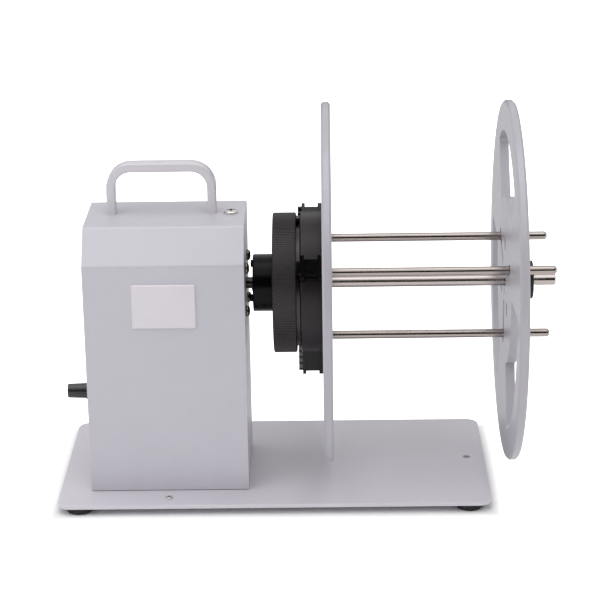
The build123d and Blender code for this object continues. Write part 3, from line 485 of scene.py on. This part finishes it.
screws = {
    "motor": {"radius": 0.0039, "height": 0.0028, "shank": 0.0019, "cross": 0.0023},
    "plate": {"radius": 0.0026, "height": 0.0014, "shank": 0.0015, "cross": 0.0015},
    "back": {"radius": 0.0029, "height": 0.0018, "shank": 0.0015, "cross": 0.0017},
    "cover": {"radius": 0.0050, "height": 0.0022, "shank": 0.0024, "cross": 0.0033},
    "base": {"radius": 0.0037, "height": 0.0022, "shank": 0.0020, "cross": 0.0021},
    "hub": {"radius": 0.0026, "height": 0.0030, "shank": 0.0015, "key": 0.0015},
    "flange": {"radius": 0.0043, "height": 0.0040, "shank": 0.0025, "key": 0.0024},
}


def headOf(label, axis):
    # the shank is as long as the CAD screw's
    s = screws[label]
    low, high = cornersOf(label + "_screws" if label != "cover" else "cover_screw")[0]
    length = high[axis] - low[axis] - s["height"]
    if "key" in s:
        return socketHead(label + "Head", s["radius"], s["height"], s["shank"], length, s["key"])
    return panHead(label + "Head", s["radius"], s["height"], s["shank"], length, s["cross"])


hubSeat = span("hub_screws")[0].x + screws["hub"]["height"]
flangeSeat = span("flange_screws")[1].x - screws["flange"]["height"]
screwSet("motorScrewSet", "motor_screws", headOf("motor", 0), housingRight, (1, 0, 0),
         "dark_screw", "stand", seed=5)
screwSet("plateScrewSet", "plate_screws", headOf("plate", 2), plateTop, (0, 0, 1),
         "bright_screw", "stand", seed=2)
screwSet("backScrewSet", "back_screws", headOf("back", 1), housingBack, (0, 1, 0),
         "dark_screw", "stand", seed=8)
screwSet("coverScrewSet", "cover_screw", headOf("cover", 2), coverTop, (0, 0, 1),
         "bright_screw", "stand", 0.6, seed=1)
screwSet("baseScrewSet", "base_screws", headOf("base", 2), plateUnder, (0, 0, -1),
         "dark_screw", "stand", seed=4)
screwSet("hubScrewSet", "hub_screws", headOf("hub", 0), hubSeat, (-1, 0, 0),
         "black_screw", "spindle", seed=6)
screwSet("flangeScrewSet", "flange_screws", headOf("flange", 0), flangeSeat, (1, 0, 0),
         "bright_screw", "spindle", seed=7)
print("screws set out")


# carry handle, a bent bar with rolled edges
handle = {"thickness": 0.0061, "depth": 0.0120, "edge": 0.0011, "corner": 0.0175, "bends": 14}
handleLow, handleHigh = span("carry_handle")


def handleRoute():
    # outer outline of the bar as (x, z, outward x, outward z), up one leg and down the other
    r = handle["corner"]
    top = handleHigh.z - r
    route = [(handleLow.x, handleLow.z, -1.0, 0.0)]
    for side, middle in ((pi, handleLow.x + r), (pi / 2, handleHigh.x - r)):
        for k in range(handle["bends"] + 1):
            a = side - k / handle["bends"] * pi / 2
            route.append((middle + r * cos(a), top + r * sin(a), cos(a), sin(a)))
    route.append((handleHigh.x, handleLow.z, 1.0, 0.0))
    return route


def handleSection():
    # rounded rectangle as (inward from the outer face, back from the front face)
    t, d, e = handle["thickness"], handle["depth"], handle["edge"]
    section = []
    for inward, back, start in ((t - e, d - e, 0), (e, d - e, 1), (e, e, 2), (t - e, e, 3)):
        for k in range(5):
            a = (start + k / 4) * pi / 2
            section.append((inward + e * cos(a), back + e * sin(a)))
    return section


bm = bmesh.new()
rings = [[bm.verts.new((x - outX * inward, handleLow.y + back, z - outZ * inward))
          for inward, back in handleSection()] for x, z, outX, outZ in handleRoute()]
for a, b in zip(rings, rings[1:]):
    for k in range(len(a)):
        n = (k + 1) % len(a)
        bm.faces.new((a[k], a[n], b[n], b[k]))
bm.faces.new(rings[0])
bm.faces.new(rings[-1])
bmesh.ops.recalc_face_normals(bm, faces=bm.faces)
handleMesh = bpy.data.meshes.new("carryHandle")
bm.to_mesh(handleMesh)
bm.free()
meshPiece("carryHandle", smoothByAngle(handleMesh, 40), "handle_paint", "stand", "carry_handle")
print("handle bent")


# rubber feet, moulded with a rounded rim and a dimple below
foot = {"radius": 0.0103, "draft": 0.0006, "round": 0.0024, "dimple": 0.0040, "depth": 0.0012}
footLow, footHigh = cornersOf("rubber_feet")[0]
footTall = footHigh.z - footLow.z
footOutline = [(footTall, 0), (footTall, foot["radius"])]
for k in range(7):
    a = k / 6 * pi / 2
    footOutline.append((foot["round"] * (1 - sin(a)),
                        foot["radius"] - foot["draft"] - foot["round"] * (1 - cos(a))))
footOutline += [(0, foot["dimple"]), (foot["depth"], foot["dimple"] * 0.8), (foot["depth"], 0)]
footShape = looseObject("footShape", smoothByAngle(lathe("footShape", footOutline, 48), 40))
screwSet("footSet", "rubber_feet", footShape, footLow.z, (0, 0, 1), "foot_rubber", "stand", 0.0)
print("feet set out")


# knurled ring, ribs round a turned body
grip = {"ribs": 208, "rib": 0.00105, "root": 0.00035, "ends": 0.0007, "bore": 0.01705,
        "leftPocket": 0.024, "floor": 0.042, "wall": 0.0018, "web": 0.004,
        "lip": 0.0008, "corner": 0.0001, "cornerIn": 0.0004}
gripLow, gripHigh = span("grip_ring")
gripRadius = (gripHigh.z - gripLow.z) / 2
axisZ = (gripHigh.z + gripLow.z) / 2
gripWidth = gripHigh.x - gripLow.x
knurlTree = Geometry("ribsRoundRing", [("Radius", "NodeSocketFloat"), ("Width", "NodeSocketFloat"),
                                       ("Rib", "NodeSocketFloat"), ("Count", "NodeSocketInt"),
                                       ("Finish", "NodeSocketMaterial")])
ring = knurlTree.make("GeometryNodeMeshCircle", {"fill_type": "NONE"},
                      {"Vertices": knurlTree.given("Count"), "Radius": knurlTree.given("Radius")})
barSize = knurlTree.make("ShaderNodeCombineXYZ", {},
                         {"X": knurlTree.given("Rib"), "Y": knurlTree.given("Rib"),
                          "Z": knurlTree.given("Width")})
bar = knurlTree.make("GeometryNodeMeshCube", {}, {"Size": barSize.outputs[0]})
edgeOn = knurlTree.make("GeometryNodeTransform", {},
                        {"Geometry": bar.outputs[0], "Rotation": (0, 0, pi / 4)})
outward = knurlTree.make("GeometryNodeInputPosition")
facing = knurlTree.make("FunctionNodeAlignRotationToVector", {"axis": "X"}, {"Vector": outward.outputs[0]})
ribs = knurlTree.make("GeometryNodeInstanceOnPoints", {},
                      {"Points": ring.outputs[0], "Instance": edgeOn.outputs[0],
                       "Rotation": facing.outputs[0]})
joined = knurlTree.make("GeometryNodeJoinGeometry")
knurlTree.tree.links.new(ribs.outputs[0], joined.inputs[0])
knurlTree.tree.links.new(knurlTree.given("Geometry"), joined.inputs[0])
knurlTree.finish(joined.outputs[0])

half = gripWidth / 2
root = gripRadius - grip["root"]
wallX, lipX = half - grip["web"], half - grip["cornerIn"]
lipR, edgeR = gripRadius - grip["lip"], gripRadius - grip["corner"]
gripOutline = [(-half, grip["leftPocket"]), (-half, grip["bore"]), (wallX, grip["bore"]),
               (wallX, gripRadius - grip["wall"]), (half, gripRadius - grip["wall"]),
               (half, lipR), (lipX, edgeR), (half - grip["ends"], root), (-half + grip["ends"], root),
               (-lipX, edgeR), (-half, lipR), (-half, grip["floor"]), (-wallX, grip["floor"]),
               (-wallX, grip["leftPocket"]), (-half, grip["leftPocket"])]
gripBody = lathe("gripBody", gripOutline, grip["ribs"])
gripMesh = knurlTree.run("gripKnurled", gripBody,
                         {"Radius": gripRadius - grip["rib"] * 0.7071, "Width": gripWidth - 2 * grip["ends"],
                          "Rib": grip["rib"], "Count": grip["ribs"], "Finish": finishes["ring_black"]})
toPlace = Matrix.Translation(((gripLow.x + gripHigh.x) / 2, 0, axisZ))
gripMesh.transform(toPlace @ Matrix.Rotation(pi / 2, 4, "Y"))
meshPiece("gripKnurled", smoothByAngle(gripMesh, 25), "ring_black", "scroll", "grip_ring")
print("knurled ring made")


# camera, fitted to the photograph
view = {"place": (0.01512, -1.41462, 0.60505), "yaw": 0.79, "pitch": -18.457, "roll": 0.9, "lens": 128.04}
aimTurn = (Matrix.Rotation(radians(view["yaw"]), 3, "Z") @ Matrix.Rotation(radians(view["pitch"]), 3, "X")
           @ Matrix.Rotation(radians(view["roll"]), 3, "Y"))
right, forward, up = (aimTurn.col[0], aimTurn.col[1], aimTurn.col[2])
camera = bpy.data.objects.new("camera", bpy.data.cameras.new("camera"))
camera.data.lens = view["lens"]
camera.data.sensor_width = 36
camera.data.clip_start = 0.05
camera.data.clip_end = 50
camera.matrix_world = Matrix(((right.x, up.x, -forward.x, view["place"][0]),
                              (right.y, up.y, -forward.y, view["place"][1]),
                              (right.z, up.z, -forward.z, view["place"][2]), (0, 0, 0, 1)))
bpy.context.scene.collection.objects.link(camera)
bpy.context.scene.camera = camera


# floor, world and lamps
floorLook = {"reach": 12, "glossyGlow": 1.1, "extraForCamera": 0.9, "shadowFrom": -0.002,
             "shadowTo": 0.022, "glowShare": 0.97}
r = floorLook["reach"]
floorMesh = bpy.data.meshes.new("floor")
floorMesh.from_pydata([(-r, -r, 0), (r, -r, 0), (r, r, 0), (-r, r, 0)], [], [(0, 1, 2, 3)])
floor = looseObject("floor", floorMesh)
floorFinish = Finish("floorWhite")
rays = floorFinish.make("ShaderNodeLightPath")
cameraRay = Wire(floorFinish, rays.outputs["Is Camera Ray"])
seen = cameraRay.maths("MAXIMUM", rays.outputs["Is Glossy Ray"])
seen = seen.maths("MAXIMUM", rays.outputs["Is Transmission Ray"])
glow = floorFinish.make("ShaderNodeEmission", {},
                        {"Color": (1, 1, 1, 1),
                         "Strength": cameraRay * floorLook["extraForCamera"] + floorLook["glossyGlow"]})
floorFinish.wear(Base_Color=(0.93, 0.93, 0.94, 1), Roughness=0.9)
# the glow gives way to plain paint under and beside the base plate, which keeps the shadow there
plateLow, plateHigh = span("base_plate")
plateMiddle = (plateLow + plateHigh) / 2
fromMiddle = floorFinish.make("ShaderNodeVectorMath", {"operation": "SUBTRACT"},
                              {0: floorFinish.place, 1: (plateMiddle.x, plateMiddle.y, 0)})
folded = floorFinish.make("ShaderNodeVectorMath", {"operation": "ABSOLUTE"}, {0: fromMiddle.outputs[0]})
sides = floorFinish.make("ShaderNodeSeparateXYZ", {}, {0: folded.outputs[0]})
pastEnd = Wire(floorFinish, sides.outputs[0]) - (plateHigh.x - plateLow.x) / 2
pastSide = Wire(floorFinish, sides.outputs[1]) - (plateHigh.y - plateLow.y) / 2
away = floorFinish.make("ShaderNodeMapRange", {"interpolation_type": "SMOOTHSTEP"},
                        {"Value": pastEnd.maths("MAXIMUM", pastSide), 1: floorLook["shadowFrom"],
                         2: floorLook["shadowTo"], 3: 0.0, 4: floorLook["glowShare"]})
lift = seen * Wire(floorFinish, away.outputs[0])
mixed = floorFinish.make("ShaderNodeMixShader", {},
                         {0: lift, 1: floorFinish.shader.outputs[0], 2: glow.outputs[0]})
# clear from below, so that the underside can be looked at
sideOfFloor = floorFinish.make("ShaderNodeNewGeometry")
clear = floorFinish.make("ShaderNodeBsdfTransparent")
oneSided = floorFinish.make("ShaderNodeMixShader", {},
                            {0: sideOfFloor.outputs["Backfacing"], 1: mixed.outputs[0], 2: clear.outputs[0]})
floorFinish.put(floorFinish.tree.nodes["Material Output"].inputs["Surface"], oneSided.outputs[0])
floorMesh.materials.append(floorFinish.material)

world = bpy.data.worlds.new("studio")
bpy.context.scene.world = world
world.use_nodes = True
sky = Wiring(world.node_tree)
light = {"world": 0.54, "glossy": 0.85, "camera": 1.0}
background = sky.tree.nodes["Background"]
background.inputs["Color"].default_value = (1, 1, 1, 1)
path = sky.make("ShaderNodeLightPath")
forGlossy = sky.make("ShaderNodeMix", {"data_type": "FLOAT"},
                     {0: path.outputs["Is Glossy Ray"], 2: light["world"], 3: light["glossy"]})
forCamera = sky.make("ShaderNodeMix", {"data_type": "FLOAT"},
                     {0: path.outputs["Is Camera Ray"], 2: forGlossy.outputs[0], 3: light["camera"]})
sky.put(background.inputs["Strength"], forCamera.outputs[0])

lamps = {
    "key": {"place": (1.8, -1.1, 1.3), "size": 1.2, "power": 2.5, "gloss": 0.2},
    "fill": {"place": (-2.3, -1.3, 1.3), "size": 1.5, "power": 9, "gloss": 0.2},
    "top": {"place": (-0.1, -0.7, 2.4), "size": 2.8, "power": 33, "gloss": 0.2},
}
lampAim = Vector((0, 0, 0.12))
for name, lamp in lamps.items():
    data = bpy.data.lights.new(name, "AREA")
    data.shape = "SQUARE"
    data.size = lamp["size"]
    data.energy = lamp["power"]
    data.specular_factor = lamp["gloss"]
    holder = bpy.data.objects.new(name, data)
    holder.location = lamp["place"]
    holder.rotation_euler = (lampAim - holder.location).to_track_quat("-Z", "Y").to_euler()
    bpy.context.scene.collection.objects.link(holder)

# dark cards round the stage, for the dark bands on steel and black; only reflections see them
cardFinish = Finish("cardBlack")
cardFinish.wear(Base_Color=(0.01, 0.01, 0.01, 1), Roughness=0.9)
cardHalf = 7  # half a card's length along X
cards = {
    "frontCard": ((-2.6, 0.02), (-2.6, 1.6)),
    "slopedCard": ((-2.6, 1.6), (-0.6, 2.8)),
    "backCard": ((2.6, 0.02), (2.6, 0.6)),
}
for name, ((y0, z0), (y1, z1)) in cards.items():
    cardMesh = bpy.data.meshes.new(name)
    cardMesh.from_pydata([(-cardHalf, y0, z0), (cardHalf, y0, z0), (cardHalf, y1, z1), (-cardHalf, y1, z1)],
                         [], [(0, 1, 2, 3)])
    cardMesh.materials.append(cardFinish.material)
    card = looseObject(name, cardMesh)
    for ray in ("camera", "diffuse", "transmission", "volume_scatter", "shadow"):
        setattr(card, "visible_" + ray, False)
bpy.context.scene.view_settings.view_transform = "Standard"
print("camera and lamps set")
